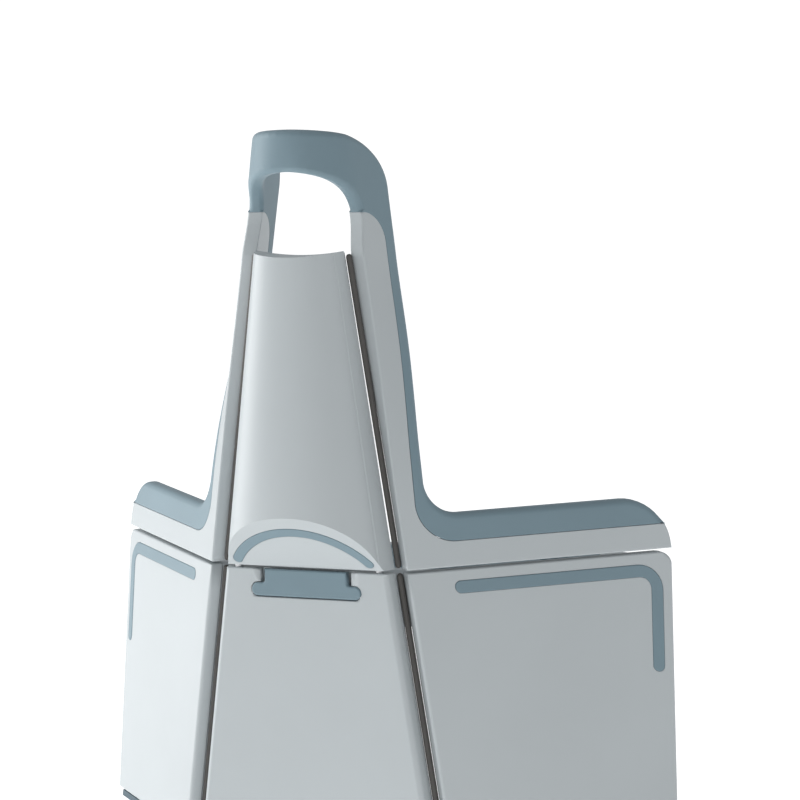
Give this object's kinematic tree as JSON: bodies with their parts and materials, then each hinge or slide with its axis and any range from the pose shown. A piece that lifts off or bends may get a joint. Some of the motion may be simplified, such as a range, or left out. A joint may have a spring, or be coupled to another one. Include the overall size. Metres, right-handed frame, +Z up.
{
  "type": "folding step stool",
  "caption": "Step stool of folding flat panels in a V, with a lift-out wedge deck, low rails and a tall column with a loop handle.",
  "frame": {"origin": "on the floor, under the middle of the object's box", "axes": "+Z up, the column faces -Y, symmetric in X"},
  "size_m": [0.626, 0.2444, 0.701],
  "materials": {
    "shell": "satin light cool grey moulding",
    "liner": "matte grey moulding",
    "soft": "matte blue-grey soft-touch elastomer",
    "hinge": "matte dark flexible hinge strip",
    "foot": "matte non-slip rubber",
    "steel": "bright zinc-plated steel"
  },
  "bodies": {
    "base": {"front_panel": "shell", "front_liner": "liner", "latch_pin": "steel", "latch_spring": "steel", "front_foot": "foot", "front_beam": "liner", "beam_screw_left": "steel", "beam_screw_right": "steel", "left_lower_hinge": "hinge", "right_lower_hinge": "hinge"},
    "left_side": {"left_panel": "shell", "left_liner": "liner", "left_ledge": "liner", "left_ledge_screw_1": "steel", "left_ledge_screw_2": "steel", "left_corner_strip": "soft", "left_foot": "foot"},
    "right_side": {"right_panel": "shell", "right_liner": "liner", "right_ledge": "liner", "right_ledge_screw_1": "steel", "right_ledge_screw_2": "steel", "right_corner_strip": "soft", "right_foot": "foot"},
    "guard": {"column_shell": "shell", "column_back": "liner", "arc_strip": "soft", "column_screw_1": "steel", "column_screw_2": "steel", "column_screw_3": "steel", "column_screw_4": "steel", "left_upper_hinge": "hinge", "right_upper_hinge": "hinge", "left_tenon": "steel", "right_tenon": "steel"},
    "left_wing": {"left_wing": "shell", "left_wing_liner": "liner", "left_soft_edge": "soft", "left_grip": "soft"},
    "right_wing": {"right_wing": "shell", "right_wing_liner": "liner", "right_soft_edge": "soft", "right_grip": "soft"},
    "latch": {"latch_tab": "soft"},
    "deck": {"deck_board": "shell", "deck_mat": "soft", "deck_apron": "shell"}
  },
  "joints": [
    {"name": "left_fold", "type": "hinge", "parent": "base", "child": "left_side", "pos_m": [-0.0924, -0.07017, 0.28], "axis": [0.1406, 0, 0.9901], "range_deg": [0, 44]},
    {"name": "right_fold", "type": "hinge", "parent": "base", "child": "right_side", "pos_m": [0.0924, -0.07017, 0.28], "axis": [0.1406, 0, -0.9901], "range_deg": [0, 44]},
    {"name": "left_wing_fold", "type": "hinge", "parent": "guard", "child": "left_wing", "pos_m": [-0.0924, -0.07017, 0.28], "axis": [0.1406, 0, 0.9901], "range_deg": [0, 44], "deforming": ["left_grip"]},
    {"name": "right_wing_fold", "type": "hinge", "parent": "guard", "child": "right_wing", "pos_m": [0.0924, -0.07017, 0.28], "axis": [0.1406, 0, -0.9901], "range_deg": [0, 44], "deforming": ["right_grip"]},
    {"name": "guard_lift", "type": "slide", "parent": "base", "child": "guard", "axis": [0, 0, 1], "range_m": [0, 0.06]},
    {"name": "deck_lift", "type": "slide", "parent": "base", "child": "deck", "axis": [0, 0, 1], "range_m": [0, 0.09]},
    {"name": "latch_swing", "type": "hinge", "parent": "base", "child": "latch", "pos_m": [0, -0.08387, 0.255], "axis": [1, 0, 0], "range_deg": [0, 25], "stiffness_Nm_per_rad": 0.05, "springref_deg": -5.73}
  ],
  "couplings": [
    {"joint": "right_fold", "follows": "left_fold", "ratio": 1},
    {"joint": "left_wing_fold", "follows": "left_fold", "ratio": 1},
    {"joint": "right_wing_fold", "follows": "left_fold", "ratio": 1}
  ]
}
